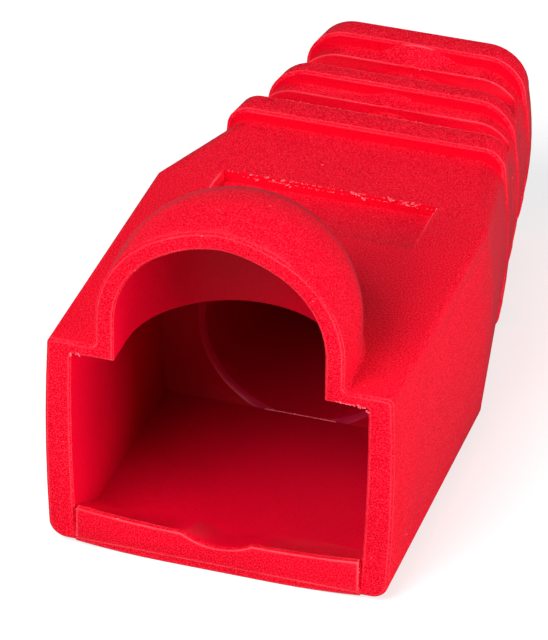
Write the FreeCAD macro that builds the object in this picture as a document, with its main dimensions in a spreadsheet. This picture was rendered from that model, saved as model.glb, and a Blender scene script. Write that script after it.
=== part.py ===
"""RJ45 strain relief boot: one moulded piece with a mouth for the plug, a hood over its latch and a ribbed tail.

Lengths are millimetres. While it is modelled the mouth is at y = 0, the tail runs to +Y, X is the width
and +Z is up. At the end the body is set back so that the origin is the middle of the underside.
"""
import FreeCAD
import Part
import math
import os
import Sketcher

NODE = "strain_relief_boot"
# Each row is a name, its value and what it is.
SIZES = [
    # block around the plug
    ("body_width", 14.0, "width at the top and bottom corners"),
    ("body_height", 9.54, "height of the flat top above the underside"),
    ("side_bow", 0.11, "how far each side swells at half height, at the front"),
    ("back_bow", 0.27, "the same at the back of the block"),
    ("straight_length", 13.4, "length before the sides start to narrow"),
    ("face_step", 0.05, "how far the lip stands proud of the rest of the front"),
    ("edge_round", 0.1, "softening of the outer edges of the front"),
    ("mouth_round", 0.08, "softening of the mouth's edges"),
    ("top_corner", 0.25, "rounding of the long top edges"),
    ("bottom_corner", 0.72, "rounding of the long bottom edges"),
    ("corner_level", 0.27, "height of the underside beside the swollen floor"),
    ("strip_half", 2.2, "half width of the flat strip the part rests on"),
    ("belly_half", 5.84, "half width of the swollen floor"),
    ("belly_rise", 0.2, "height of the swollen floor at its edge"),
    # narrowing part
    ("taper_length", 6.5, "length from the block to the first rib"),
    ("core_corner", 1.2, "corner rounding where the ribs start"),
    # plug cavity
    ("cavity_top_half", 6.02, "half width of the mouth at its roof"),
    ("cavity_floor_half", 5.86, "half width of the cavity at its floor"),
    ("cavity_bow", 0.08, "how far each cavity wall bows out"),
    ("floor_height", 0.56, "height of the cavity floor"),
    ("roof_thickness", 0.56, "thickness of the roof over the cavity"),
    ("cavity_depth", 11.04, "depth of the cavity from the front"),
    ("cavity_corner", 0.12, "rounding of the long roof corners of the cavity"),
    # lip across the mouth
    ("lip_half", 5.8, "half width of the proud part of the lip"),
    ("lip_end_height", 1.84, "height of the lip at the walls"),
    ("lip_middle_height", 1.6, "height of the lip beside its notch"),
    ("notch_half", 1.45, "half width of the notch"),
    ("notch_floor", 1.18, "height of the notch's floor"),
    ("lip_thickness", 0.25, "depth of the lip's level top"),
    ("ramp_length", 2.5, "length of the slope behind the lip"),
    # hood over the latch
    ("hood_outer", 5.03, "outside radius of the hood"),
    ("hood_wall", 0.77, "wall of the hood"),
    ("hood_leg", 1.35, "height of the hood's upright legs above the top"),
    ("hood_rise", 6.07, "height of the arch above the top, at the front"),
    ("hood_shoulder", 4.6, "outside radius of the front arch's shoulders"),
    ("hood_crown", 5.6, "outside radius of the front arch's crown"),
    ("hood_run", 1.8, "distance from the front to the dome's centre"),
    ("latch_run", 1.7, "distance from the front to the centre of the dome's inside"),
    ("hood_root", 0.12, "softening where the hood meets the top"),
    ("roof_round", 0.06, "softening of the roof's edge under the hood"),
    # shallow recess in the top
    ("recess_width", 9.1, "width of the recess"),
    ("recess_front", 10.9, "distance of its shallow end from the front"),
    ("recess_length", 3.7, "length of the recess"),
    ("recess_front_depth", 0.1, "depth at its shallow end"),
    ("recess_back_depth", 0.52, "depth at its deep end"),
    # cable way
    ("funnel_mouth", 4.22, "radius of the funnel at the back of the cavity"),
    ("funnel_mouth_height", 4.53, "height of the funnel's centre there"),
    ("funnel_length", 5.0, "length of the funnel"),
    ("funnel_round", 0.22, "softening of the funnel's mouth"),
    ("bore_radius", 3.1, "radius of the cable bore"),
    ("bore_height", 4.755, "height of the cable bore's centre"),
    # tail
    ("tail_width", 9.8, "width at the end of the tail, at half height"),
    ("tail_shift", -0.12, "how far the tail's outline sits to one side of the bore"),
    ("tail_bow", 0.22, "how far each tail side swells"),
    ("rib_reach", 4.455, "height of the ribs above the bore's centre"),
    ("core_reach", 3.9, "height of the core above the bore's centre"),
    ("core_end_corner", 2.2, "corner rounding of the core at the end"),
    ("first_rib_length", 1.3, "length of the first rib"),
    ("first_rib_corner", 1.0, "corner rounding of the first rib"),
    ("first_slot_length", 1.7, "length of the first slot"),
    ("first_land_length", 0.8, "length of the step before the second rib"),
    ("second_rib_length", 0.9, "length of the second rib"),
    ("second_rib_corner", 1.8, "corner rounding of the second rib"),
    ("second_slot_length", 1.9, "length of the second slot"),
    ("second_land_length", 0.9, "length of the step before the collar"),
    ("collar_length", 1.4, "length of the end collar"),
    ("collar_corner", 1.8, "corner rounding of the end collar"),
    ("slot_reach", 3.05, "height of the slot floors above the bore's centre"),
    ("sleeve_radius", 3.55, "radius of the sleeve seen in the slots"),
    ("rib_margin", 0.02, "how far the ribs stand out from the core at the sides"),
    ("rib_round", 0.11, "softening of the ribs' front edges"),
    ("rib_back_round", 0.04, "softening of the ribs' back edges"),
    ("end_round", 0.2, "softening of the tail's end"),
    # small humps on the two steps
    ("hump_start", 1.85, "radius of the first hump where it meets the step"),
    ("hump_end", 2.07, "radius of the first hump at the rib"),
    ("big_hump_start", 2.03, "radius of the second hump where it meets the step"),
    ("big_hump_end", 2.6, "radius of the second hump at the collar"),
]

# Worked-out sizes: a name and its formula.
FORMULAS = [
    ("half_width", "body_width / 2"),
    ("roof_height", "body_height - roof_thickness"),
    ("hood_spring", "body_height + hood_leg"),
    ("hood_front_top", "body_height + hood_rise"),
    ("first_rib_front", "straight_length + taper_length"),
    ("first_rib_back", "first_rib_front + first_rib_length"),
    ("first_land_front", "first_rib_back + first_slot_length"),
    ("second_rib_front", "first_land_front + first_land_length"),
    ("second_rib_back", "second_rib_front + second_rib_length"),
    ("second_land_front", "second_rib_back + second_slot_length"),
    ("collar_front", "second_land_front + second_land_length"),
    ("overall_length", "collar_front + collar_length"),
    ("first_rib_edge", "first_rib_front + rib_round"),
    ("first_rib_rear", "first_rib_back - rib_back_round"),
    ("second_rib_edge", "second_rib_front + rib_round"),
    ("second_rib_rear", "second_rib_back - rib_back_round"),
    ("collar_edge", "collar_front + rib_round"),
    ("collar_rear", "overall_length - end_round"),
    ("step_half", "belly_half + 0.06"),
    ("belly_radius", "((belly_half - strip_half) ^ 2 + belly_rise ^ 2) / (2 * belly_rise)"),
    ("side_chord", "body_height - top_corner - corner_level - bottom_corner"),
    ("side_radius", "side_chord ^ 2 / (8 * side_bow) + side_bow / 2"),
    ("back_side_radius", "side_chord ^ 2 / (8 * back_bow) + back_bow / 2"),
    ("width_loss", "(half_width + back_bow - tail_width / 2) / (overall_length - straight_length)"),
    ("core_top", "bore_height + core_reach"),
    ("core_bottom", "bore_height - core_reach"),
    ("rib_top", "bore_height + rib_reach"),
    ("rib_bottom", "bore_height - rib_reach"),
    ("end_half", "half_width + back_bow - tail_bow - width_loss * taper_length"),
    ("end_flat_half", "end_half - core_corner"),
    ("end_strip_half", "end_flat_half * 0.5"),
    ("end_belly_half", "end_flat_half * 0.96"),
    ("end_step_half", "end_flat_half * 0.98"),
    ("end_belly_level", "core_bottom - 0.03"),
    ("end_strip_level", "core_bottom - 0.06"),
    ("end_belly_radius", "((end_belly_half - end_strip_half) ^ 2 + 0.03 ^ 2) / 0.06"),
    ("end_corner_low", "core_bottom + core_corner"),
    ("end_corner_high", "core_top - core_corner"),
    ("end_chord", "end_corner_high - end_corner_low"),
    ("end_side_radius", "end_chord ^ 2 / (8 * tail_bow) + tail_bow / 2"),
    ("cavity_chord", "roof_height - cavity_corner - floor_height"),
    ("cavity_wall_radius", "cavity_chord ^ 2 / (8 * cavity_bow) + cavity_bow / 2"),
    ("mouth_inner", "face_step + mouth_round"),
    ("lip_root", "(corner_level + floor_height) / 2"),
    ("lip_fall", "lip_end_height - lip_middle_height"),
    ("lip_sag_radius", "((lip_half - notch_half) ^ 2 + lip_fall ^ 2) / (2 * lip_fall)"),
    ("notch_depth", "lip_middle_height - notch_floor"),
    ("notch_radius", "(notch_half ^ 2 + notch_depth ^ 2) / (2 * notch_depth)"),
    ("ramp_half", "lip_half + 0.4"),
    ("ramp_end_height", "floor_height - 0.02"),
    ("ramp_middle_height", "floor_height - 0.03"),
    ("ramp_notch_floor", "floor_height - 0.16"),
    ("ramp_notch_depth", "ramp_middle_height - ramp_notch_floor"),
    ("ramp_notch_radius", "(notch_half ^ 2 + ramp_notch_depth ^ 2) / (2 * ramp_notch_depth)"),
    ("ramp_fall", "ramp_end_height - ramp_middle_height"),
    ("ramp_sag_radius", "((ramp_half - notch_half) ^ 2 + ramp_fall ^ 2) / (2 * ramp_fall)"),
    ("ramp_lip_radius", "((ramp_half - notch_half) ^ 2 + lip_fall ^ 2) / (2 * lip_fall)"),
    ("ramp_end", "lip_thickness + ramp_length"),
    ("shoulder_run", "(hood_outer - hood_shoulder) / (hood_crown - hood_shoulder)"),
    ("shoulder_rise", "(hood_spring - hood_front_top + hood_crown) / (hood_crown - hood_shoulder)"),
    ("front_edge", "face_step + edge_round"),
    ("recess_back", "recess_front + recess_length"),
    ("recess_front_floor", "body_height - recess_front_depth"),
    ("recess_back_floor", "body_height - recess_back_depth - 0.13"),
    ("recess_clear", "body_height + 0.6"),
    ("funnel_rim", "funnel_mouth + funnel_round"),
    ("funnel_start", "cavity_depth + funnel_round"),
    ("funnel_end", "cavity_depth + funnel_length"),
    ("slot_floor_high", "bore_height + slot_reach"),
    ("slot_floor_low", "bore_height - slot_reach"),
    ("above_all", "body_height + 1"),
    ("below_all", "0 - 1"),
    ("hump_height", "core_top - hump_start + 0.01"),
    ("big_hump_height", "core_top - big_hump_start + 0.01"),
]

# Sections of the tail: name, distance from the front, corner rounding, reach from the bore's centre, side margin.
TAIL_SECTIONS = [
    ("core_start", "first_rib_front", "core_corner", "core_reach", "0"),
    ("core_end", "overall_length", "core_end_corner", "core_reach", "0"),
]
for rib, end_name, softening in (("first_rib", "first_rib_back", "rib_back_round"),
                                 ("second_rib", "second_rib_back", "rib_back_round"),
                                 ("collar", "overall_length", "end_round")):
    TAIL_SECTIONS += [
        (rib + "_a", rib + "_front", rib + "_corner", "rib_reach - rib_round", "rib_margin - rib_round"),
        (rib + "_b", rib + "_edge", rib + "_corner", "rib_reach", "rib_margin"),
        (rib + "_c", rib + "_rear", rib + "_corner", "rib_reach", "rib_margin"),
        (rib + "_d", end_name, rib + "_corner", "rib_reach - " + softening, "rib_margin - " + softening),
    ]

# Sections of the block: name, how far inside the full outline it lies.
BLOCK_SECTIONS = [("tip", "edge_round"), ("full", "0")]

# Sections of the cavity: name, how far outside the cavity's outline it lies.
CAVITY_SECTIONS = [("mouth_rim", "mouth_round"), ("cavity", "0")]

# Front arches: name, how far inside the hood's outer surface, foot level, softening at the foot, base level.
FRONT_ARCHES = [
    ("hood_tip", "edge_round", "body_height", "hood_root", "roof_height + 0.2"),
    ("hood_near", "0", "body_height", "hood_root", "roof_height + 0.2"),
    ("latch_tip", "hood_wall - mouth_round", "roof_height", "roof_round", "roof_height - 0.4"),
    ("latch_near", "hood_wall", "roof_height", "roof_round", "roof_height - 0.4"),
]
DOMES = [
    ("hood_far", "0", "body_height", "hood_root", "roof_height + 0.2"),
    ("latch_far", "hood_wall", "roof_height", "roof_round", "roof_height - 0.4"),
]
DOME_RUNS = {"hood_far": "hood_run", "latch_far": "latch_run"}


def tail_formulas():
    rows = []
    for name, station, corner, reach, margin in TAIL_SECTIONS:
        lost = "width_loss * (%s - straight_length)" % station
        rows.append((name + "_half", "half_width + back_bow - tail_bow + %s - %s" % (margin, lost)))
        rows.append((name + "_flat", "%s_half - %s" % (name, corner)))
        rows.append((name + "_bottom", "bore_height - (%s)" % reach))
        rows.append((name + "_top", "bore_height + (%s)" % reach))
        rows.append((name + "_low", "%s_bottom + %s" % (name, corner)))
        rows.append((name + "_high", "%s_top - %s" % (name, corner)))
        rows.append((name + "_chord", "%s_high - %s_low" % (name, name)))
        rows.append((name + "_side", "%s_chord ^ 2 / (8 * tail_bow) + tail_bow / 2" % name))
    return rows


def block_formulas():
    rows = []
    for name, inset in BLOCK_SECTIONS:
        rows.append((name + "_strip_up", inset))
        rows.append((name + "_belly_up", "belly_rise + " + inset))
        rows.append((name + "_step_up", "corner_level + " + inset))
        rows.append((name + "_bottom_flat", "half_width - bottom_corner"))
        rows.append((name + "_low", "corner_level + bottom_corner"))
        rows.append((name + "_high", "body_height - top_corner"))
        rows.append((name + "_top_flat", "half_width - top_corner"))
        rows.append((name + "_side", "half_width - " + inset))
        rows.append((name + "_top", "body_height - " + inset))
        rows.append((name + "_bottom_round", "bottom_corner - " + inset))
        rows.append((name + "_top_round", "top_corner - " + inset))
    for name, outset in CAVITY_SECTIONS:
        rows.append((name + "_floor_side", "cavity_floor_half + " + outset))
        rows.append((name + "_top_side", "cavity_top_half + " + outset))
        rows.append((name + "_roof_flat", "cavity_top_half - cavity_corner"))
        rows.append((name + "_wall_top", "roof_height - cavity_corner"))
        rows.append((name + "_roof", "roof_height + " + outset))
        rows.append((name + "_round", "cavity_corner + " + outset))
    return rows


def hood_formulas():
    rows = []
    for name, inset, level, foot, base in FRONT_ARCHES + DOMES:
        rows.append((name + "_side", "hood_outer - (%s)" % inset))
        rows.append((name + "_foot", "%s_side + %s" % (name, foot)))
        rows.append((name + "_base", base))
        rows.append((name + "_level", level))
        rows.append((name + "_knee", "%s + %s" % (level, foot)))
    for name, inset, level, foot, base in FRONT_ARCHES:
        rows.append((name + "_shoulder", "hood_shoulder - (%s)" % inset))
        rows.append((name + "_crown", "hood_crown - (%s)" % inset))
        rows.append((name + "_top", "hood_front_top - (%s)" % inset))
        rows.append((name + "_turn_across", "%s_crown * shoulder_run" % name))
        rows.append((name + "_turn_up", "hood_front_top - hood_crown + %s_crown * shoulder_rise" % name))
    for name, inset, level, foot, base in DOMES:
        rows.append((name + "_shoulder", name + "_side"))
        rows.append((name + "_crown", name + "_side"))
        rows.append((name + "_top", "hood_spring + %s_side" % name))
        rows.append((name + "_turn_across", "%s_side * shoulder_run" % name))
        rows.append((name + "_turn_up", "hood_spring + %s_side * (1 - shoulder_run ^ 2) ^ 0.5" % name))
        rows.append((name + "_back", "%s + %s_side" % (DOME_RUNS[name], name)))
        rows.append((name + "_heel", "%s + %s_foot" % (DOME_RUNS[name], name)))
    return rows


def fill_sheet(doc):
    sheet = doc.addObject("Spreadsheet::Sheet", "Sizes")
    row = 1
    for name, value, note in SIZES:
        sheet.set("A%d" % row, note)
        sheet.set("B%d" % row, str(value))
        sheet.setAlias("B%d" % row, name)
        row += 1
    for name, formula in FORMULAS + block_formulas() + tail_formulas() + hood_formulas():
        sheet.set("A%d" % row, "worked out")
        sheet.set("B%d" % row, "=" + formula)
        sheet.setAlias("B%d" % row, name)
        row += 1
    doc.recompute()
    return sheet


def arc_between(here, there, radius, hollow):
    """Short arc from here to there, swelling to the right of the way it runs unless it is hollow."""
    half = (there - here) * 0.5
    reach = max(radius ** 2 - half.Length ** 2, 0.0) ** 0.5
    left = FreeCAD.Vector(-half.y, half.x, 0).normalize()
    centre = here + half + left * (-reach if hollow else reach)
    circle = Part.Circle(centre, FreeCAD.Vector(0, 0, 1), radius)
    start, stop = (there, here) if hollow else (here, there)
    first = math.atan2(start.y - centre.y, start.x - centre.x)
    last = math.atan2(stop.y - centre.y, stop.x - centre.x)
    if last < first:
        last += 2 * math.pi
    return Part.ArcOfCircle(circle, first, last)


def mirrored(points):
    """Whole outline from its right half, listed from the bottom to the top."""
    right = [(across, up, 1, curve) for across, up, curve in points]
    left = []
    for number in range(len(points) - 1, -1, -1):
        across, up, unused = points[number]
        if across is None:
            continue
        curve = points[number - 1][2] if number > 0 else None
        left.append((across, up, -1, curve))
    return right + left


class Builder:
    """Adds sketches and features to one body, with every size bound to the sheet."""

    def __init__(self, doc, sheet, body):
        self.doc = doc
        self.sheet = sheet
        self.body = body

    def value(self, name):
        return float(self.sheet.get(name))

    def sketch(self, name, role, distance=None, aside=None):
        """Sketch on an origin plane. On XZ, distance is how far behind the front it lies, aside how far along X."""
        made = self.body.newObject("Sketcher::SketchObject", name)
        plane = [item for item in self.body.Origin.OriginFeatures if item.Role == role][0]
        made.AttachmentSupport = [(plane, "")]
        made.MapMode = "FlatFace"
        if distance:
            made.setExpression(".AttachmentOffset.Base.z", "-Sizes." + distance)
        if aside:
            made.setExpression(".AttachmentOffset.Base.x", "Sizes." + aside)
        return made

    def place(self, sketch, shape, end, across, up, side):
        """Fix one end of a line or arc at named distances; None lays it on the sketch's axis."""
        for kind, name, sign, axis in (("DistanceX", across, side, -2), ("DistanceY", up, 1, -1)):
            if name is None:
                sketch.addConstraint(Sketcher.Constraint("PointOnObject", shape, end, axis))
                continue
            text = "Sizes." + name
            number = sign * self.value(name)
            index = sketch.addConstraint(Sketcher.Constraint(kind, -1, 1, shape, end, number))
            sketch.setExpression("Constraints[%d]" % index, text if sign > 0 else "-" + text)

    def loop(self, sketch, points):
        """Closed outline through points (across, up, side, curve); curve is the radius to the next point.

        A radius name bulges outwards when the outline runs anticlockwise; with "-" first it bulges in.
        """
        spots = []
        for across, up, side, curve in points:
            x = side * self.value(across) if across else 0.0
            z = self.value(up) if up else 0.0
            spots.append(FreeCAD.Vector(x, z, 0))
        ends = []
        for number, (across, up, side, curve) in enumerate(points):
            here = spots[number]
            there = spots[(number + 1) % len(points)]
            if curve is None:
                shape = sketch.addGeometry(Part.LineSegment(here, there))
                ends.append((shape, 1, 2))
            else:
                hollow = curve.startswith("-")
                radius = self.value(curve.lstrip("-"))
                shape = sketch.addGeometry(arc_between(here, there, radius, hollow))
                ends.append((shape, 2, 1) if hollow else (shape, 1, 2))
                index = sketch.addConstraint(Sketcher.Constraint("Radius", shape, radius))
                sketch.setExpression("Constraints[%d]" % index, "Sizes." + curve.lstrip("-"))
        for number, (across, up, side, curve) in enumerate(points):
            shape, first, last = ends[number]
            previous, before, after = ends[number - 1]
            sketch.addConstraint(Sketcher.Constraint("Coincident", previous, after, shape, first))
            self.place(sketch, shape, first, across, up, side)
        self.check_sketch(sketch)
        return sketch

    def check_sketch(self, sketch):
        self.doc.recompute()
        if sketch.solve() != 0 or not sketch.FullyConstrained:
            raise RuntimeError("sketch %s is not fully fixed" % sketch.Name)

    def circle(self, name, radius, height, distance):
        sketch = self.sketch(name, "XZ_Plane", distance)
        centre = FreeCAD.Vector(0, self.value(height), 0)
        shape = sketch.addGeometry(Part.Circle(centre, FreeCAD.Vector(0, 0, 1), self.value(radius)))
        index = sketch.addConstraint(Sketcher.Constraint("Radius", shape, self.value(radius)))
        sketch.setExpression("Constraints[%d]" % index, "Sizes." + radius)
        self.place(sketch, shape, 3, None, height, 1)
        self.check_sketch(sketch)
        return sketch

    def feature(self, kind, name, profile, grows, **sizes):
        """Add a feature and make sure that it adds or removes material."""
        before = self.body.Shape.Volume if self.body.Tip else 0.0
        made = self.body.newObject("PartDesign::" + kind, name)
        made.Profile = profile
        for key, text in sizes.items():
            if isinstance(text, str) and text.startswith("Sizes."):
                made.setExpression(key, text)
            else:
                setattr(made, key, text)
        self.doc.recompute()
        change = self.body.Shape.Volume - before
        if grows != (change > 0) or abs(change) < 1e-4:
            raise RuntimeError("%s changed the volume by %.4f" % (name, change))
        print("%-18s %+9.3f mm3" % (name, change))
        return made

    def loft(self, name, sections, grows):
        """Straight-sided solid through two or more sections."""
        kind = "AdditiveLoft" if grows else "SubtractiveLoft"
        return self.feature(kind, name, sections[0], grows, Sections=sections[1:], Ruled=True)


def round_outline(maker, name, section, distance):
    """Tail section: flat top and bottom, swollen sides and rounded corners."""
    return maker.loop(maker.sketch(name, "XZ_Plane", distance, "tail_shift"), mirrored([
        (section + "_flat", section + "_bottom", TAIL_CORNERS[section]),
        (section + "_half", section + "_low", section + "_side"),
        (section + "_half", section + "_high", TAIL_CORNERS[section]),
        (section + "_flat", section + "_top", None),
    ]))


def block_outline(maker, name, section, distance, side):
    """Outline of the block: swollen floor, a small step beside it, swollen sides and a flat top."""
    return maker.loop(maker.sketch(name, "XZ_Plane", distance), mirrored([
        ("strip_half", section + "_strip_up", "belly_radius"),
        ("belly_half", section + "_belly_up", None),
        ("step_half", section + "_step_up", None),
        (section + "_bottom_flat", section + "_step_up", section + "_bottom_round"),
        (section + "_side", section + "_low", side),
        (section + "_side", section + "_high", section + "_top_round"),
        (section + "_top_flat", section + "_top", None),
    ]))


def taper_end_outline(maker, name, distance):
    """The same outline where the block has narrowed to the tail's core."""
    return maker.loop(maker.sketch(name, "XZ_Plane", distance, "tail_shift"), mirrored([
        ("end_strip_half", "end_strip_level", "end_belly_radius"),
        ("end_belly_half", "end_belly_level", None),
        ("end_step_half", "core_bottom", None),
        ("end_flat_half", "core_bottom", "core_corner"),
        ("end_half", "end_corner_low", "end_side_radius"),
        ("end_half", "end_corner_high", "core_corner"),
        ("end_flat_half", "core_top", None),
    ]))


def add_block(maker):
    tip = block_outline(maker, "block_tip", "tip", "face_step", "side_radius")
    front = block_outline(maker, "block_front", "full", "front_edge", "side_radius")
    back = block_outline(maker, "block_back", "full", "straight_length", "back_side_radius")
    maker.loft("block", [tip, front, back], True)
    near = block_outline(maker, "taper_near", "full", "straight_length", "back_side_radius")
    far = taper_end_outline(maker, "taper_far", "first_rib_front")
    maker.loft("taper", [near, far], True)


def add_tail(maker):
    near = round_outline(maker, "core_near", "core_start", "first_rib_front")
    far = round_outline(maker, "core_far", "core_end", "overall_length")
    maker.loft("core", [near, far], True)
    cut_slots(maker)
    sleeve = maker.circle("sleeve_outline", "sleeve_radius", "bore_height", "first_rib_back")
    length = "Sizes.second_land_front - Sizes.first_rib_back"
    maker.feature("Pad", "sleeve", sleeve, True, Length=length, Reversed=True)
    for rib in ("first_rib", "second_rib", "collar"):
        sections = [row for row in TAIL_SECTIONS if row[0][:-2] == rib]
        outlines = [round_outline(maker, row[0] + "_outline", row[0], row[1]) for row in sections]
        maker.loft(rib, outlines, True)
    for name, parts in HUMPS.items():
        near = maker.circle(name + "_near", parts[0], parts[2], parts[3])
        far = maker.circle(name + "_far", parts[1], parts[2], parts[4])
        maker.loft(name, [near, far], True)


def cut_slots(maker):
    for name, start, length in SLOTS:
        for where, level, edge in (("top", "slot_floor_high", "above_all"), ("bottom", "slot_floor_low", "below_all")):
            sketch = maker.sketch("%s_%s_outline" % (name, where), "XZ_Plane", start)
            low, high = (level, edge) if where == "top" else (edge, level)
            maker.loop(sketch, mirrored([("half_width", low, None), ("half_width", high, None)]))
            maker.feature("Pocket", "%s_%s" % (name, where), sketch, False, Length=length)


def arch(maker, section, distance):
    """Arch on two upright legs, its shoulders and crown each an arc, with softened feet."""
    return maker.loop(maker.sketch(section + "_outline", "XZ_Plane", distance), mirrored([
        (section + "_foot", section + "_base", None),
        (section + "_foot", section + "_level", None),
        (section + "_side", section + "_knee", None),
        (section + "_side", "hood_spring", section + "_shoulder"),
        (section + "_turn_across", section + "_turn_up", section + "_crown"),
        (None, section + "_top", section + "_crown"),
    ]))


def turn_dome(maker, kind, name, section, grows):
    """Turn half of the dome's outline half way round the dome's upright centre line."""
    profile = maker.loop(maker.sketch(name + "_outline", "YZ_Plane"), [
        (section + "_heel", section + "_base", 1, None),
        (section + "_heel", section + "_level", 1, None),
        (section + "_back", section + "_knee", 1, None),
        (section + "_back", "hood_spring", 1, section + "_side"),
        (DOME_RUNS[section], section + "_top", 1, None),
        (DOME_RUNS[section], section + "_base", 1, None),
    ])
    axis = (profile, ["Edge5"])
    maker.feature(kind, name, profile, grows, ReferenceAxis=axis, Angle=180.0, Midplane=True)


def add_hood(maker):
    tip = arch(maker, "hood_tip", "face_step")
    near = arch(maker, "hood_near", "front_edge")
    far = arch(maker, "hood_far", "hood_run")
    maker.loft("hood_arch", [tip, near, far], True)
    turn_dome(maker, "Revolution", "hood_dome", "hood_far", True)


def cut_hood(maker):
    front = arch(maker, "latch_tip", "face_step")
    near = arch(maker, "latch_near", "mouth_inner")
    far = arch(maker, "latch_far", "latch_run")
    maker.loft("latch_arch", [front, near, far], False)
    turn_dome(maker, "Groove", "latch_dome", "latch_far", False)


def cavity_outline(maker, section, distance):
    return maker.loop(maker.sketch(section + "_outline", "XZ_Plane", distance), mirrored([
        (section + "_floor_side", "floor_height", "cavity_wall_radius"),
        (section + "_top_side", section + "_wall_top", section + "_round"),
        (section + "_roof_flat", section + "_roof", None),
    ]))


def cut_cavity(maker):
    cavity = cavity_outline(maker, "cavity", None)
    maker.feature("Pocket", "cavity_cut", cavity, False, Length="Sizes.cavity_depth")
    mouth = cavity_outline(maker, "mouth_rim", "face_step")
    inner = maker.loop(maker.sketch("mouth_inner_outline", "XZ_Plane", "mouth_inner"), mirrored([
        ("cavity_floor_side", "floor_height", "cavity_wall_radius"),
        ("cavity_top_side", "cavity_wall_top", "cavity_round"),
        ("cavity_roof_flat", "cavity_roof", None),
    ]))
    maker.loft("mouth_edge", [mouth, inner], False)


def lip_outline(maker, name, distance, half, end_height, middle_height, floor, sag, notch):
    points = [
        (half, "lip_root", 1, None),
        (half, end_height, 1, "-" + sag),
        ("notch_half", middle_height, 1, "-" + notch),
        ("notch_half", middle_height, -1, "-" + sag),
        (half, end_height, -1, None),
        (half, "lip_root", -1, None),
    ]
    return maker.loop(maker.sketch(name, "XZ_Plane", distance), points)


def add_lip(maker):
    front = lip_outline(maker, "lip_outline", None, "lip_half", "lip_end_height", "lip_middle_height",
                        "notch_floor", "lip_sag_radius", "notch_radius")
    maker.feature("Pad", "lip", front, True, Length="Sizes.lip_thickness", Reversed=True)
    near = lip_outline(maker, "ramp_near", "lip_thickness", "ramp_half", "lip_end_height", "lip_middle_height",
                       "notch_floor", "ramp_lip_radius", "notch_radius")
    far = lip_outline(maker, "ramp_far", "ramp_end", "ramp_half", "ramp_end_height", "ramp_middle_height",
                      "ramp_notch_floor", "ramp_sag_radius", "ramp_notch_radius")
    maker.loft("ramp", [near, far], True)


def cut_recess(maker):
    sketch = maker.loop(maker.sketch("recess_outline", "YZ_Plane"), [
        ("recess_front", "recess_front_floor", 1, None),
        ("recess_back", "recess_back_floor", 1, None),
        ("recess_back", "recess_clear", 1, None),
        ("recess_front", "recess_clear", 1, None),
    ])
    maker.feature("Pocket", "recess", sketch, False, Length="Sizes.recess_width", Midplane=True)


def cut_cable_way(maker):
    rim = maker.circle("funnel_rim_circle", "funnel_rim", "funnel_mouth_height", "cavity_depth")
    near = maker.circle("funnel_near", "funnel_mouth", "funnel_mouth_height", "funnel_start")
    far = maker.circle("funnel_far", "bore_radius", "bore_height", "funnel_end")
    maker.loft("funnel", [rim, near, far], False)
    start = maker.circle("bore_outline", "bore_radius", "bore_height", "funnel_end")
    maker.feature("Pocket", "bore", start, False, Length="Sizes.overall_length - Sizes.funnel_end")


TAIL_CORNERS = {row[0]: row[2] for row in TAIL_SECTIONS}
SLOTS = [
    ("first_slot", "first_rib_back", "Sizes.first_slot_length"),
    ("second_slot", "second_rib_back", "Sizes.second_slot_length"),
]
HUMPS = {
    "hump": ("hump_start", "hump_end", "hump_height", "first_land_front", "second_rib_front"),
    "big_hump": ("big_hump_start", "big_hump_end", "big_hump_height", "second_land_front", "collar_front"),
}


def main():
    doc = FreeCAD.newDocument("Boot")
    sheet = fill_sheet(doc)
    body = doc.addObject("PartDesign::Body", NODE)
    body.Label = NODE
    maker = Builder(doc, sheet, body)
    add_block(maker)
    add_tail(maker)
    add_hood(maker)
    cut_cavity(maker)
    cut_hood(maker)
    add_lip(maker)
    cut_recess(maker)
    cut_cable_way(maker)
    body.setExpression(".Placement.Base.y", "-Sizes.overall_length / 2")
    doc.recompute()
    check(doc, body)
    os.makedirs("parts", exist_ok=True)
    body.Shape.exportStep("parts/%s.step" % NODE)
    box = body.Shape.BoundBox
    print("solids", len(body.Shape.Solids), "faces", len(body.Shape.Faces), "volume", round(body.Shape.Volume, 2))
    print("x %.3f..%.3f  y %.3f..%.3f  z %.3f..%.3f" % (box.XMin, box.XMax, box.YMin, box.YMax, box.ZMin, box.ZMax))


def check(doc, body):
    for item in doc.Objects:
        if "Invalid" in item.State or "Error" in item.State:
            raise RuntimeError("%s is in state %s" % (item.Name, item.State))
        shape = getattr(item, "Shape", None)
        if shape is not None and shape.isNull():
            raise RuntimeError("%s has no shape" % item.Name)
    if not body.Shape.isValid() or len(body.Shape.Solids) != 1:
        raise RuntimeError("the body is not one sound solid")


main()
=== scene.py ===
# %% [markdown]
# # A moulded strain relief boot for a network plug
# The real part is one piece of soft red PVC, pushed over the back of a plug so that the cable can't be bent
# sharply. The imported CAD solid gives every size. Here it is given the finish of a moulding: softened edges, a fine
# grain, parting lines, flash where the parts of a mould could have met, and a few specks of dust.

# %% Load the frame
import bpy
import bmesh
import math
from mathutils import Euler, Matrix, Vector
from mathutils.bvhtree import BVHTree


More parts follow.
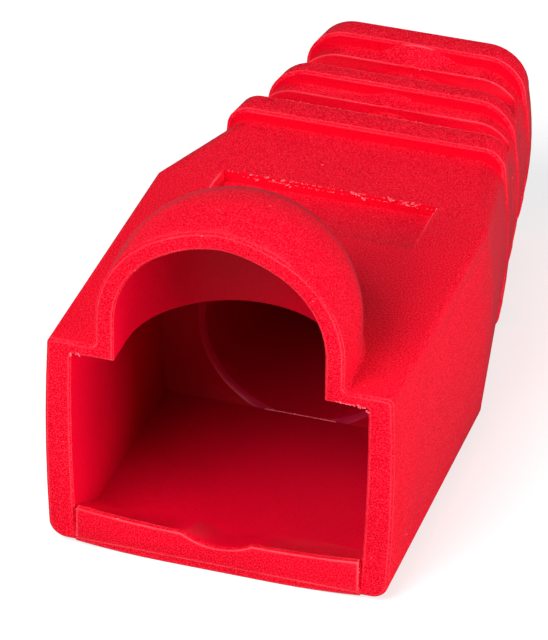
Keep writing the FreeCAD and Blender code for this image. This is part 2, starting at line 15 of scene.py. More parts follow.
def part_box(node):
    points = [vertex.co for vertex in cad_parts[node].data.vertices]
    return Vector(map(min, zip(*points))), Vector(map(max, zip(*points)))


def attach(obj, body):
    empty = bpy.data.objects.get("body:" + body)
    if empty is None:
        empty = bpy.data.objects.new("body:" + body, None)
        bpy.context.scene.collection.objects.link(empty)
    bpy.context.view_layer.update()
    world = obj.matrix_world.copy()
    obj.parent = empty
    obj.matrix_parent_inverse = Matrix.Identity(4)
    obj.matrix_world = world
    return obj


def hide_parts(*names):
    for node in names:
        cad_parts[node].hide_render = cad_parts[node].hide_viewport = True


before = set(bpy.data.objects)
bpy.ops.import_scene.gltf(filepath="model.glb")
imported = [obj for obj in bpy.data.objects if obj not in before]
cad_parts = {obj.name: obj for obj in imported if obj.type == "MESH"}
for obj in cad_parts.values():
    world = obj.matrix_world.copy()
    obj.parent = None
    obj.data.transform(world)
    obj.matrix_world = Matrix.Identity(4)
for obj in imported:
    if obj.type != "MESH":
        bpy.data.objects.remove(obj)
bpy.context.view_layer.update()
MM = 0.001
NODE = "strain_relief_boot"
low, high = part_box(NODE)
FRONT, BACK = low.y, high.y
print("box in mm", [round(v / MM, 2) for v in (*low, *high)])

# %% [markdown]
# ## Camera
# The boot lies on its flat underside, and is seen from about 20 cm away, a little from the right and well from
# above. At that distance a long lens is needed for so small a part to fill the frame.


# %% Place the camera
def add_object(name, data):
    """A new object at the origin, put in the scene."""
    made = bpy.data.objects.new(name, data)
    bpy.context.scene.collection.objects.link(made)
    return made


camera_data = bpy.data.cameras.new("studio_camera")
camera_data.lens = 288.8
camera_data.sensor_width = 36.0
camera_data.clip_start = 0.01
camera = add_object("studio_camera", camera_data)
camera.location = Vector((50.908, -171.370, 116.540)) * MM
camera.rotation_euler = Euler([math.radians(v) for v in (57.605, -0.761, 17.715)], "XYZ")
bpy.context.scene.camera = camera
print("camera distance in mm", round(camera.location.length / MM, 1))

# %% [markdown]
# ## Helpers for materials
# Colours are given as they are seen on a screen, so one function turns them to the linear values that a
# shader works in. One more adds a node with its settings and links.


# %% Material helpers
def linear(hex_text):
    """Screen colour such as 'D8001E' as a linear RGBA tuple."""
    parts = [int(hex_text[i:i + 2], 16) / 255 for i in (0, 2, 4)]
    return tuple(c / 12.92 if c <= 0.04045 else ((c + 0.055) / 1.055) ** 2.4 for c in parts) + (1.0,)


def grey(level):
    """A linear grey as an RGBA tuple."""
    return (level, level, level, 1.0)


def add_node(tree, kind, settings=None, links=None):
    """Add a node. Settings go to its sockets by name or number, to its ramp as stops of (position, linear colour),
    or to its own properties. Links map its sockets to the outputs that feed them."""
    node = tree.nodes.new(kind)
    for key, value in (settings or {}).items():
        if key == "stops":
            ramp = node.color_ramp.elements
            while len(ramp) < len(value):
                ramp.new(0.5)
            for stop, (position, colour) in zip(ramp, value):
                stop.position = position
                stop.color = colour
        elif isinstance(key, int) or key in node.inputs:
            node.inputs[key].default_value = value
        else:
            setattr(node, key, value)
    for key, output in (links or {}).items():
        tree.links.new(output, node.inputs[key])
    return node


# A Mix node has sockets for floats, vectors and colours under the same names, so its colour ones go by number.
FACTOR, FIRST, SECOND, MIXED = 0, 6, 7, 2
MIX = {"data_type": "RGBA"}
MULTIPLY = {"data_type": "RGBA", "blend_type": "MULTIPLY", FACTOR: 1.0}
print("a mid grey on screen, linear", round(linear("808080")[0], 4))

# %% [markdown]
# ## Patterns in red PVC
# Soft PVC is coloured right through. The outer faces have a fine even grain, as a spark-eroded steel mould could
# leave, and it makes them satin. It looks about 0.05 mm across, and is drawn at 0.06 mm so that it shows. Slow
# changes of tone, some 3 mm across, could come from the way the melt flowed.

# %% Grain, pits and flow
GRAIN = 0.06 * MM
FLOW = 3.0 * MM


def patterns(tree):
    """The place on the boot, and the three patterns that every finish is made from."""
    place = add_node(tree, "ShaderNodeTexCoord").outputs["Object"]
    grain = add_node(tree, "ShaderNodeTexNoise", {"Scale": 1 / GRAIN, "Detail": 2.0, "Roughness": 0.6},
                     {"Vector": place})
    pits = add_node(tree, "ShaderNodeTexVoronoi", {"Scale": 0.7 / GRAIN, "Randomness": 1.0}, {"Vector": place})
    flow = add_node(tree, "ShaderNodeTexNoise", {"Scale": 1 / FLOW, "Detail": 3.0, "Roughness": 0.55},
                    {"Vector": place})
    return place, grain.outputs["Fac"], pits.outputs["Distance"], flow.outputs["Fac"]


def pigment(tree, grain, flow, colours):
    """The grain's pits deep in colour and its tops pale, the whole up to 7% darker where the melt clouded."""
    speckle = add_node(tree, "ShaderNodeValToRGB", {"stops": list(zip((0.33, 0.5, 0.67), map(linear, colours)))},
                       {"Fac": grain})
    cloud = add_node(tree, "ShaderNodeValToRGB", {"stops": [(0.3, grey(0.93)), (0.7, grey(1.0))]}, {"Fac": flow})
    return add_node(tree, "ShaderNodeMix", MULTIPLY,
                    {FIRST: speckle.outputs["Color"], SECOND: cloud.outputs["Color"]}).outputs[MIXED]


print("grains across the mouth", round((high.x - low.x) / GRAIN))

# %% [markdown]
# ## Painted edge highlights, painted sheen and painted cavity shade
# The edges that stand out get a paler colour, a painted highlight. The mask for it compares a bevelled normal with the
# true one: they part only near an edge. Where the surface is seen almost edge-on, the colour turns greyish, a painted
# sheen. The last function paints shade that deepens into the cavity, a look choice, and no property of PVC.

# %% Changes of colour along the surface
CAVITY_DEPTH = 11.0 * MM
EDGE_REACH = 0.13 * MM
EDGE_FULL, EDGE_NONE = 0.82, 0.985
# Greyish red of the painted sheen where the surface is seen edge-on.
GRAZING_SHEEN_RED = "962733"


def edge_mask(tree):
    """1 on the outward edges and 0 elsewhere, from how far a bevelled normal leans off the true one."""
    soft = add_node(tree, "ShaderNodeBevel", {"samples": 6, "Radius": EDGE_REACH})
    true = add_node(tree, "ShaderNodeNewGeometry")
    lean = add_node(tree, "ShaderNodeVectorMath", {"operation": "DOT_PRODUCT"},
                    {0: soft.outputs["Normal"], 1: true.outputs["True Normal"]})
    near = add_node(tree, "ShaderNodeMapRange", {"From Min": EDGE_NONE, "From Max": EDGE_FULL},
                    {"Value": lean.outputs["Value"]})
    outward = add_node(tree, "ShaderNodeAttribute", {"attribute_name": "outer_edge"})
    return add_node(tree, "ShaderNodeMath", {"operation": "MULTIPLY"},
                    {0: near.outputs["Result"], 1: outward.outputs["Fac"]}).outputs[0]


def paint_edge_highlights(tree, colour, flow, edge_highlight_colour):
    """Painted highlights: paler edges, in patches that follow the flow pattern."""
    patchy = add_node(tree, "ShaderNodeValToRGB", {"stops": [(0.35, grey(0.45)), (0.6, grey(0.95))]}, {"Fac": flow})
    edges = add_node(tree, "ShaderNodeMath", {"operation": "MULTIPLY"},
                     {0: edge_mask(tree), 1: patchy.outputs["Color"]})
    return add_node(tree, "ShaderNodeMix", {**MIX, SECOND: linear(edge_highlight_colour)},
                    {FACTOR: edges.outputs[0], FIRST: colour}).outputs[MIXED]


def paint_grazing_sheen(tree, colour):
    """A painted sheen: a greyer red where the surface is seen almost edge-on."""
    slant = add_node(tree, "ShaderNodeLayerWeight", {"Blend": 0.5})
    grazing = add_node(tree, "ShaderNodeMapRange", {"From Min": 0.73, "From Max": 0.98, "To Max": 0.76},
                       {"Value": slant.outputs["Facing"]})
    return add_node(tree, "ShaderNodeMix", {**MIX, SECOND: linear(GRAZING_SHEEN_RED)},
                    {FACTOR: grazing.outputs["Result"], FIRST: colour}).outputs[MIXED]


def paint_cavity_shade(tree, colour, place, at_mouth, at_back):
    """Painted shade: colour times a grey that falls from the mouth to the cavity's back, so that the cavity reads as
    deep.
    """
    along = add_node(tree, "ShaderNodeSeparateXYZ", {}, {"Vector": place})
    depth = add_node(tree, "ShaderNodeMapRange",
                     {"From Min": FRONT, "From Max": FRONT + CAVITY_DEPTH, "To Min": at_mouth, "To Max": at_back},
                     {"Value": along.outputs["Y"]})
    return add_node(tree, "ShaderNodeMix", MULTIPLY, {FIRST: colour, SECOND: depth.outputs["Result"]}).outputs[MIXED]


print("cavity depth in mm", round(CAVITY_DEPTH / MM, 1))

# %% [markdown]
# ## The finishes
# All the boot is one red PVC, with an index of refraction of about 1.53. What differs is how smooth each surface
# is, and what light and shade is painted into its colour. The grained skin scatters light and looks satin, and the
# pale tops of its grain are partly a painted sheen, which the walls square to the boot's length go without. A polished
# core could have shaped the cavity, which is smoother, and painted shade deepens it towards the back. Thin blades
# could have shaped the slots' walls, which have hardly any grain. Real flash is so thin that light gets through it, so
# its colours are paler here.

# %% Make the red PVC
PVC_IOR = 1.53


def red_pvc(name, grain_colours, roughness, grain_depth, gloss, edge_highlight_colour=None, cavity_shade_range=None):
    """One finish of the red PVC, from its three grain colours, its roughness, its grain's depth and its gloss."""
    material = bpy.data.materials.new(name)
    material.use_nodes = True
    tree = material.node_tree
    tree.nodes.clear()
    place, grain, pits, flow = patterns(tree)
    colour = pigment(tree, grain, flow, grain_colours)
    # Painted shade, deeper towards the cavity's back.
    if cavity_shade_range:
        colour = paint_cavity_shade(tree, colour, place, *cavity_shade_range)
    # Painted highlights on the outward edges, and a painted sheen where the surface is seen edge-on.
    if edge_highlight_colour:
        colour = paint_grazing_sheen(tree, paint_edge_highlights(tree, colour, flow, edge_highlight_colour))
    rough = add_node(tree, "ShaderNodeMapRange", {"To Min": roughness - 0.06, "To Max": roughness + 0.08},
                     {"Value": pits})
    height = add_node(tree, "ShaderNodeMath", {"operation": "ADD"}, {0: grain, 1: pits})
    bump = add_node(tree, "ShaderNodeBump", {"Strength": 1.0, "Distance": grain_depth}, {"Height": height.outputs[0]})
    shader = add_node(tree, "ShaderNodeBsdfPrincipled", {"IOR": PVC_IOR, "Specular IOR Level": gloss},
                      {"Base Color": colour, "Roughness": rough.outputs["Result"],
                       "Normal": bump.outputs["Normal"]})
    add_node(tree, "ShaderNodeOutputMaterial", {}, {"Surface": shader.outputs["BSDF"]})
    return material


# Grained skin: an even satin with hardly a highlight of its own. The pale tops of its grain are partly a painted
# sheen, and its outward edges and slants carry a painted highlight and sheen.
outer_pvc = red_pvc("spark_eroded_red_pvc", ("C1001A", "EB0025", "FF3042"), 0.55, 0.018 * MM, 0.03,
                    edge_highlight_colour="FF5C6C")
# Walls of the slots: a deep flat red, almost without grain and without the painted sheen of the skin's pale grain
# tops; their edges and slants get the painted highlight and sheen too.
wall_pvc = red_pvc("blade_moulded_red_pvc", ("C8001A", "D8001E", "E60022"), 0.6, 0.004 * MM, 0.04,
                   edge_highlight_colour="FF4C5C")
# Cavity: smooth and a little shiny, with painted shade that deepens towards its back.
inner_pvc = red_pvc("core_moulded_red_pvc", ("E20028", "EE022C", "F40632"), 0.42, 0.003 * MM, 0.09,
                    cavity_shade_range=(0.95, 0.43))
# Rim of the funnel: dark with painted shade like the cavity's back, and glossy enough to catch a thin line of light.
rim_shade_pvc = red_pvc("funnel_rim_pvc", ("A00030", "AC0436", "B8083C"), 0.34, 0.002 * MM, 0.6)
# Painted glint at the funnel: a thread of pale pink, glossy scales that stands in for a line of light.
glint_scale_pvc = red_pvc("glossy_thread_pvc", ("FF5A6C", "FF7080", "FF98A0"), 0.28, 0.001 * MM, 0.9)
# Scales of flash: thin, pale and matt.
flash_pvc = red_pvc("thin_flash_pvc", ("F83C4C", "FA5262", "FF7A86"), 0.5, 0.004 * MM, 0.2)
print("materials", [m.name for m in bpy.data.materials])

# %% [markdown]
# ## The moulding
# The CAD mesh is a set of loose triangles, so a copy is welded, given a small bevel on every edge that is still
# sharp, and shaded smooth. No edge of a moulded part is truly sharp: soft PVC never fills the mould's corners.


# %% Weld and soften the moulding
def welded_copy(node, name):
    """A copy of a CAD node with its doubled corners merged and its flat faces joined."""
    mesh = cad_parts[node].data.copy()
    mesh.name = name
    shape = bmesh.new()
    shape.from_mesh(mesh)
    bmesh.ops.remove_doubles(shape, verts=shape.verts, dist=0.002 * MM)
    bmesh.ops.dissolve_limit(shape, angle_limit=math.radians(0.4), verts=shape.verts, edges=shape.edges)
    shape.to_mesh(mesh)
    shape.free()
    return add_object(name, mesh)


def plain_mesh(obj):
    """What an object's modifiers make of it, as a mesh of its own."""
    bpy.context.view_layer.update()
    return bpy.data.meshes.new_from_object(obj.evaluated_get(bpy.context.evaluated_depsgraph_get()))


def soften(obj, width):
    """Round every edge sharper than 35 degrees, and keep the result as the object's own mesh."""
    bevel = obj.modifiers.new("soft_edges", "BEVEL")
    bevel.width = width
    bevel.segments = 2
    bevel.limit_method = "ANGLE"
    bevel.angle_limit = math.radians(35)
    softened = plain_mesh(obj)
    obj.modifiers.clear()
    obj.data = softened


boot = welded_copy(NODE, "boot_moulding")
soften(boot, 0.05 * MM)
print("faces after softening", len(boot.data.polygons))

# %% [markdown]
# ## Which faces get which finish
# The cavity, the throat and the cable way have the smooth finish. They are told apart by where they lie, inside
# the outer skin, and by facing inward. The walls across the tail and the recess stand square to the boot's length.
# The funnel's rim is a ring of its own at the cavity's back.

# %% Where the smooth faces lie
CAVITY_HALF, CAVITY_END = 6.06 * MM, FRONT + CAVITY_DEPTH + 0.1 * MM
CAVITY_FLOOR, CAVITY_TOP = 0.5 * MM, 9.0 * MM
CABLE_AXIS, THROAT_REACH = 4.755 * MM, 4.9 * MM
HOOD, HOOD_REACH, HOOD_FOOT = Vector((0, FRONT + 1.8 * MM, 10.89 * MM)), 4.6 * MM, 8.9 * MM
RIM_AXIS, RIM_INNER, RIM_OUTER = 4.53 * MM, 4.15 * MM, 4.6 * MM
RIM_NEAR, RIM_FAR = -3.35 * MM, -3.15 * MM


def is_core_moulded(centre, normal):
    """The inner faces of the cavity, the throat with the cable way, and the hood."""
    in_cavity = (abs(centre.x) < CAVITY_HALF and FRONT + 0.35 * MM < centre.y < CAVITY_END
                 and CAVITY_FLOOR < centre.z < CAVITY_TOP)
    to_axis = Vector((-centre.x, 0, CABLE_AXIS - centre.z))
    in_throat = (centre.y >= CAVITY_END - 0.3 * MM and to_axis.length < THROAT_REACH
                 and normal.dot(to_axis.normalized()) > 0.1)
    in_hood = (centre.z > HOOD_FOOT and (centre - HOOD).length < HOOD_REACH and centre.y > FRONT + 0.2 * MM
               and normal.z < 0.5)
    return in_cavity or in_throat or in_hood


# Faces square to the boot's length go without the sheen painted into the skin's grain.
def is_square_wall(centre, normal):
    """The walls of the slots, ribs and recess, which stand square to the boot's length."""
    return abs(normal.y) > 0.9 and -0.5 * MM < centre.y < BACK - 0.3 * MM


def is_funnel_rim(centre, normal):
    """The rounded rim of the funnel, a smooth ring that catches what light gets in."""
    reach = math.hypot(centre.x, centre.z - RIM_AXIS)
    return RIM_INNER < reach < RIM_OUTER and RIM_NEAR < centre.y < RIM_FAR and normal.y < -0.2


print("cavity ends at y in mm", round(CAVITY_END / MM, 2))

# %% Sort the faces and hand the moulding over
FINISHES = (outer_pvc, inner_pvc, wall_pvc, rim_shade_pvc)
OUTER, INNER, WALL, RIM = range(len(FINISHES))


def ride_as_pvc(piece):
    """Every piece moves with the boot's only body."""
    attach(piece, "root")


boot.data.materials.clear()
for finish in FINISHES:
    boot.data.materials.append(finish)
for face in boot.data.polygons:
    face.use_smooth = True
    spot = face.center, face.normal
    face.material_index = (RIM if is_funnel_rim(*spot) else INNER if is_core_moulded(*spot)
                           else WALL if is_square_wall(*spot) else OUTER)
boot.data.set_sharp_from_angle(angle=math.radians(32))
ride_as_pvc(boot)
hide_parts(NODE)
print("faces by finish", [sum(f.material_index == i for f in boot.data.polygons) for i in range(len(FINISHES))])

# %% [markdown]
# ## Outward edges
# The painted edge highlight goes only on the edges that stand out, and never on the ones in a corner. So each vertex
# is told whether it lies on an outward edge, and the finish reads that as an attribute.


# %% Mark the outward edges
def mark_outer_edges(obj, least_angle):
    """Write 1 to outer_edge where a vertex lies on outward edges alone. Returns how many do."""
    shape = bmesh.new()
    shape.from_mesh(obj.data)
    layer = shape.verts.layers.float.new("outer_edge")
    inward = set()
    for edge in shape.edges:
        if len(edge.link_faces) != 2 or edge.calc_face_angle(0) < least_angle:
            continue
        for vert in edge.verts:
            if edge.is_convex:
                vert[layer] = 1.0
            else:
                inward.add(vert)
    for vert in inward:
        vert[layer] = 0.0
    marked = sum(vert[layer] for vert in shape.verts)
    shape.to_mesh(obj.data)
    shape.free()
    return int(marked)


print("outward-edge vertices", mark_outer_edges(boot, math.radians(12)))

# %% [markdown]
# ## Flash and burrs
# Flash is the paper-thin skin of PVC that creeps into the gap between two parts of a mould. It is left as a broken
# line of tiny scales along the joint. The line is a curve, and a Geometry Nodes tree strews scales along it: it
# puts a pebble on a share of the curve's points, stretches and turns each one by chance from a fixed seed, and
# pushes its surface about a little.


# %% The tree that strews scales along a line
def input_socket(tree, label, kind, value=None):
    """Add a named input to the tree, and give the identifier by which a modifier sets it."""
    socket = tree.interface.new_socket(label, in_out="INPUT", socket_type=kind)
    if value is not None:
        socket.default_value = value
    return socket.identifier


def scale_tree():
    """The tree, and the identifiers of its inputs by a short name."""
    tree = bpy.data.node_groups.new("flash_scales", "GeometryNodeTree")
    ids = {"line": input_socket(tree, "Line", "NodeSocketGeometry"),
           "gap": input_socket(tree, "Gap", "NodeSocketFloat", 0.2 * MM),
           "size": input_socket(tree, "Size", "NodeSocketFloat", 0.08 * MM),
           "share": input_socket(tree, "Share", "NodeSocketFloat", 0.5),
           "seed": input_socket(tree, "Seed", "NodeSocketInt", 1),
           "finish": input_socket(tree, "Finish", "NodeSocketMaterial")}
    tree.interface.new_socket("Scales", in_out="OUTPUT", socket_type="NodeSocketGeometry")
    inputs = add_node(tree, "NodeGroupInput")
    points = add_node(tree, "GeometryNodeCurveToPoints", {"mode": "LENGTH"},
                      {"Curve": inputs.outputs["Line"], "Length": inputs.outputs["Gap"]})
    chosen = add_node(tree, "FunctionNodeRandomValue", {"data_type": "BOOLEAN"},
                      {"Probability": inputs.outputs["Share"], "Seed": inputs.outputs["Seed"]})
    pebble = add_node(tree, "GeometryNodeMeshIcoSphere", {"Radius": 0.5, "Subdivisions": 2})
    spin = add_node(tree, "FunctionNodeRandomValue",
                    {"data_type": "FLOAT_VECTOR", "Min": (-0.5, -0.5, -3.1), "Max": (0.5, 0.5, 3.1)},
                    {"Seed": inputs.outputs["Seed"]})
    stretch = add_node(tree, "FunctionNodeRandomValue",
                       {"data_type": "FLOAT_VECTOR", "Min": (0.5, 0.3, 0.25), "Max": (2.2, 0.9, 0.6)},
                       {"Seed": inputs.outputs["Seed"]})
    sized = add_node(tree, "ShaderNodeVectorMath", {"operation": "SCALE"},
                     {"Vector": stretch.outputs["Value"], "Scale": inputs.outputs["Size"]})
    scales = add_node(tree, "GeometryNodeInstanceOnPoints", {},
                      {"Points": points.outputs["Points"], "Selection": chosen.outputs[3],
                       "Instance": pebble.outputs["Mesh"], "Rotation": spin.outputs["Value"],
                       "Scale": sized.outputs["Vector"]})
    real = add_node(tree, "GeometryNodeRealizeInstances", {}, {"Geometry": scales.outputs["Instances"]})
    # Noise from 0 to 1, times 0.05 mm and less half of that, moves a point by up to 0.025 mm either way.
    wobble = add_node(tree, "ShaderNodeTexNoise", {"Scale": 9000.0})
    push = add_node(tree, "ShaderNodeVectorMath",
                    {"operation": "MULTIPLY_ADD", 1: (0.05 * MM,) * 3, 2: (-0.025 * MM,) * 3},
                    {"Vector": wobble.outputs["Color"]})
    rough = add_node(tree, "GeometryNodeSetPosition", {},
                     {"Geometry": real.outputs["Geometry"], "Offset": push.outputs["Vector"]})
    done = add_node(tree, "GeometryNodeSetMaterial", {},
                    {"Geometry": rough.outputs["Geometry"], "Material": inputs.outputs["Finish"]})
    add_node(tree, "NodeGroupOutput", {}, {"Scales": done.outputs["Geometry"]})
    return tree, ids


SCALES, SCALE_IDS = scale_tree()
print("inputs", list(SCALE_IDS))

# %% [markdown]
# ## Laying the scales on the skin
# A line of flash is given by a few corners in millimetres. It is divided into short steps, and each step's end is
# moved to the nearest spot of the moulding, so that no scale hangs in the air over a sloping face.

# %% Strew scales along paths
SKIN = BVHTree.FromPolygons([v.co for v in boot.data.vertices], [f.vertices for f in boot.data.polygons])
STEP = 0.25


def laid_on_skin(path):
    """Points in metres, a step apart along a path in mm, each moved onto the nearest spot of the moulding."""
    ends = [Vector(point) for point in path]
    laid = []
    for start, end in zip(ends, ends[1:]):
        count = max(1, math.ceil((end - start).length / STEP))
        laid += [start.lerp(end, i / count) for i in range(count)]
    return [SKIN.find_nearest(point * MM)[0] for point in laid + [ends[-1]]]


def strew(name, paths, gap, size, share, seed, finish=flash_pvc):
    """Strew scales on the moulding along paths. Paths, gap and size are in mm."""
    curve = bpy.data.curves.new(name, "CURVE")
    curve.dimensions = "3D"
    for path in paths:
        laid = laid_on_skin(path)
        spline = curve.splines.new("POLY")
        spline.points.add(len(laid) - 1)
        for point, place in zip(spline.points, laid):
            point.co = (*place, 1.0)
    line = add_object(name + "_line", curve)
    modifier = line.modifiers.new("scales", "NODES")
    modifier.node_group = SCALES
    for key, value in (("gap", gap * MM), ("size", size * MM), ("share", share), ("seed", seed), ("finish", finish)):
        modifier[SCALE_IDS[key]] = value
    made = plain_mesh(line)
    bpy.data.objects.remove(line)
    made.name = name
    for face in made.polygons:
        face.use_smooth = True
    ride_as_pvc(add_object(name, made))
    print(name, "faces", len(made.polygons))


print("faces to lay scales on", len(boot.data.polygons))

# %% [markdown]
# ## Where the flash lies
# A separate insert could have shaped the recess, so its back edge carries the most flash, with a second line half
# way down its back wall. Thin lines run along the ribs' back edges, where sliding blades could have shaped the
# slots. A few crumbs of flash have stuck to the recess's wall.

# %% Strew the flash on the recess and the ribs
ROOF, RECESS_BACK = 9.38, 0.2
CRUMBS = ((-3.4, 0.2), (-2.7, 0.1), (-2.0, 0.25), (0.8, 0.05), (1.1, 0.2), (2.5, 0.1), (3.5, 0.3), (3.0, 0.15))
RIB_BACKS = ((6.78, 9.2), (10.18, 9.1))
LAND_BACKS = (8.5, 12.1)
strew("recess_flash", [[(-4.5, RECESS_BACK, ROOF), (4.55, RECESS_BACK, ROOF), (4.55, -1.6, 9.54)]],
      0.08, 0.07, 0.4, 3)
strew("recess_witness", [[(-4.4, RECESS_BACK - 0.02, ROOF - 0.16), (4.4, RECESS_BACK - 0.02, ROOF - 0.16)]],
      0.1, 0.07, 0.45, 8)
strew("recess_crumbs", [[(x, RECESS_BACK, ROOF - 0.02), (x + 0.3, RECESS_BACK - 0.03, ROOF - drop)]
                        for x, drop in CRUMBS], 0.11, 0.16, 0.6, 5)
strew("rib_burrs", [[(-5.3, y, 8.0), (-4.6, y, top - 0.35), (-3.9, y, top),
                     (3.7, y, top), (4.6, y, top - 0.35), (5.2, y, 8.0)] for y, top in RIB_BACKS],
      0.07, 0.055, 0.7, 11)
strew("land_burrs", [[(-3.4, y, 8.63), (3.6, y, 8.63), (4.5, y, 8.0)] for y in LAND_BACKS], 0.09, 0.045, 0.5, 12)

# %% [markdown]
# The mouth has a little flash too: a tuft at each top corner, a fine parting line across each side wall's front,
# and scales up the lip's ends. A thread of pale glossy scales along the floor's back edge is a painted glint.

# %% Strew the flash at the mouth, and the painted glint at the funnel
MOUTH = -14.4
strew("corner_tufts", [[(4.8, MOUTH, 9.08), (5.3, MOUTH, 9.04), (5.85, MOUTH, 8.9)],
                       [(5.6, MOUTH, 9.1), (5.9, MOUTH, 8.8)],
                       [(-6.0, MOUTH, 9.0), (-5.85, MOUTH, 8.85), (-5.7, MOUTH, 9.05)]], 0.1, 0.15, 0.75, 21)
strew("parting_lines", [[(-7.0, MOUTH, 4.8), (-6.1, MOUTH, 4.88)], [(6.1, MOUTH, 4.98), (7.0, MOUTH, 5.0)],
                        [(-6.03, MOUTH + 0.1, 2.0), (-6.03, MOUTH + 0.1, 7.5)]], 0.08, 0.035, 0.6, 22)
# A painted glint: a thread of pale glossy scales along the cavity floor's back edge.
strew("funnel_thread", [[(-1.5, -3.37, 0.58), (-0.6, -3.36, 0.57), (1.5, -3.36, 0.57)]],
      0.03, 0.07, 1.0, 23, glint_scale_pvc)
strew("lip_ends", [[(x, MOUTH + 0.04, 0.3), (x, MOUTH + 0.04, 1.8)] for x in (-5.83, 5.83)], 0.05, 0.06, 0.8, 24)

# %% [markdown]
# ## Webs at the ends of the lip
# Between each end of the lip and the side wall is a slit, and a thin web of flash could have closed it. Each web is
# a thin box, set back a hair behind the mouth, with its edges softened.


# %% Close the slits with webs
def lip_web(name, side):
    """Thin box in the slit at one end of the lip. Side is -1 for the left and 1 for the right."""
    near, far = sorted((side * 5.78, side * 5.9))
    corners = [(x * MM, y * MM, z * MM) for x in (near, far) for y in (-14.33, -14.15) for z in (0.3, 1.76)]
    mesh = bpy.data.meshes.new(name)
    mesh.from_pydata(corners, [], [(0, 1, 3, 2), (4, 6, 7, 5), (0, 4, 5, 1), (2, 3, 7, 6), (0, 2, 6, 4), (1, 5, 7, 3)])
    web = add_object(name, mesh)
    soften(web, 0.02 * MM)
    web.data.materials.append(wall_pvc)
    ride_as_pvc(web)
    return web


print("webs", [lip_web(name, side).name for name, side in (("left_lip_web", -1), ("right_lip_web", 1))])

# %% [markdown]
# ## Specks
# Last come single specks, where a crumb of flash or a grain of dust has stuck to the soft skin.

# %% Strew the specks
SPECKS = [(0.42, -12.5, 15.9), (1.23, -11.9, 15.7), (-3.37, -14.3, 13.3), (-0.7, -14.35, 15.4), (3.74, -14.35, 13.4),
          (5.0, -12.4, 11.2), (5.0, -13.4, 11.5), (5.62, -13.6, 9.54), (-6.16, -14.35, 3.2), (-4.1, -14.35, 1.75),
          (2.4, -14.4, 1.35), (6.3, -14.35, 2.15), (7.14, -9.54, 6.5), (7.05, -12.0, 1.9), (5.4, 0.84, 9.29),
          (-1.0, 2.35, 9.08), (0.33, 12.1, 8.58), (5.66, 7.8, 6.7), (5.8, -5.9, 9.54)]
strew("specks", [[(x, y, z), (x + 0.07, y, z + 0.02)] for x, y, z in SPECKS], 0.09, 0.085, 0.75, 31)

# %% [markdown]
# ## Floor
# The floor is pale paper that takes the boot's shadow. It is lifted towards white for the camera alone: in glossy
# rays too, the lift laid a pale haze on the boot's right side. Away from the boot it fades to full white, so that no
# horizon shows in a low view.

# %% Lay the floor
WHITE = (1, 1, 1, 1)
FLOOR_REACH = 600 * MM
FADE_START, FADE_END = 24 * MM, 52 * MM


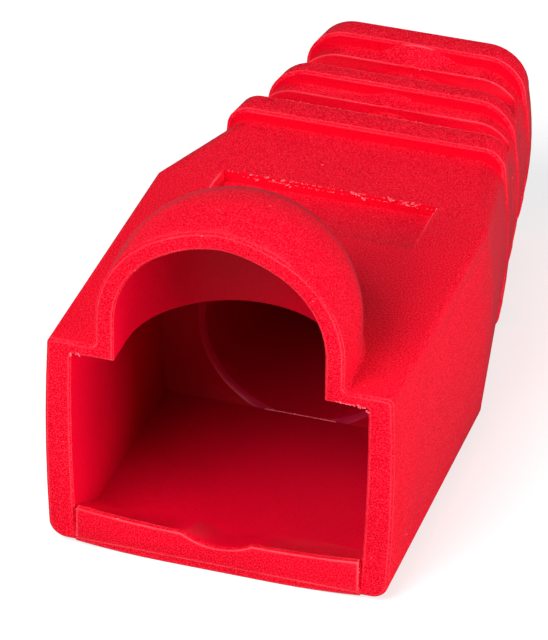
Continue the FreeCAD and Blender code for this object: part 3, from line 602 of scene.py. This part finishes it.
def pale_floor():
    """A large square of pale paper at the height of the boot's underside."""
    mesh = bpy.data.meshes.new("studio_floor")
    mesh.from_pydata([(x * FLOOR_REACH, y * FLOOR_REACH, 0) for x, y in ((-1, -1), (1, -1), (1, 1), (-1, 1))], [],
                     [(0, 1, 2, 3)])
    floor = add_object("studio_floor", mesh)
    material = bpy.data.materials.new("pale_floor_paper")
    material.use_nodes = True
    tree = material.node_tree
    tree.nodes.clear()
    sight = add_node(tree, "ShaderNodeLightPath")
    paper = add_node(tree, "ShaderNodeBsdfDiffuse", {"Color": grey(0.5)})
    lift = add_node(tree, "ShaderNodeEmission", {"Color": WHITE, "Strength": 0.66})
    both = add_node(tree, "ShaderNodeAddShader", {}, {0: paper.outputs[0], 1: lift.outputs[0]})
    place = add_node(tree, "ShaderNodeTexCoord")
    reach = add_node(tree, "ShaderNodeVectorMath", {"operation": "LENGTH"}, {"Vector": place.outputs["Object"]})
    far = add_node(tree, "ShaderNodeMapRange", {"From Min": FADE_START, "From Max": FADE_END,
                                                "interpolation_type": "SMOOTHSTEP"}, {"Value": reach.outputs["Value"]})
    white = add_node(tree, "ShaderNodeEmission", {"Color": WHITE, "Strength": 1.0})
    faded = add_node(tree, "ShaderNodeMixShader", {}, {0: far.outputs["Result"], 1: both.outputs[0],
                                                       2: white.outputs[0]})
    seen = add_node(tree, "ShaderNodeMixShader", {}, {0: sight.outputs["Is Camera Ray"], 1: paper.outputs[0],
                                                      2: faded.outputs[0]})
    add_node(tree, "ShaderNodeOutputMaterial", {}, {"Surface": seen.outputs[0]})
    mesh.materials.append(material)
    return floor


pale_floor()
print("floor width in mm", round(2 * FLOOR_REACH / MM))

# %% [markdown]
# ## Light
# A wide key light stands at the front left and above, with a fill from the right and a faint one from behind. The
# sky is white to the camera and in glossy and clear surfaces. The rest of its light on the boot is dim.


# %% Hang the lights
def sky(ambient):
    """White for camera, glossy and transmission rays, and a dim grey for all others."""
    world = bpy.data.worlds.new("studio_sky")
    bpy.context.scene.world = world
    world.use_nodes = True
    tree = world.node_tree
    tree.nodes.clear()
    sight = add_node(tree, "ShaderNodeLightPath")
    direct = add_node(tree, "ShaderNodeMath", {"operation": "MAXIMUM"},
                      {0: sight.outputs["Is Camera Ray"], 1: sight.outputs["Is Transmission Ray"]})
    shown = add_node(tree, "ShaderNodeMath", {"operation": "MAXIMUM"},
                     {0: direct.outputs[0], 1: sight.outputs["Is Glossy Ray"]})
    dim = add_node(tree, "ShaderNodeBackground", {"Color": WHITE, "Strength": ambient})
    white = add_node(tree, "ShaderNodeBackground", {"Color": WHITE, "Strength": 1.0})
    mix = add_node(tree, "ShaderNodeMixShader", {}, {0: shown.outputs[0], 1: dim.outputs[0], 2: white.outputs[0]})
    add_node(tree, "ShaderNodeOutputWorld", {}, {"Surface": mix.outputs[0]})


def soft_light(name, place, aim, size, watts):
    """Square area light at a place in mm, turned to face aim."""
    data = bpy.data.lights.new(name, "AREA")
    data.size = size * MM
    data.energy = watts
    light = add_object(name, data)
    light.location = Vector(place) * MM
    light.rotation_mode = "QUATERNION"
    light.rotation_quaternion = (Vector(aim) - Vector(place)).to_track_quat("-Z", "Y")


sky(0.12)
soft_light("key", (-43, -111, 124), (0, -6, 5), 95, 0.325)
soft_light("right_fill", (184, -66, 28), (0, 0, 5), 110, 0.48)
soft_light("top_back", (20, 120, 190), (0, 2, 8), 120, 0.03)
bpy.context.scene.view_settings.view_transform = "Standard"
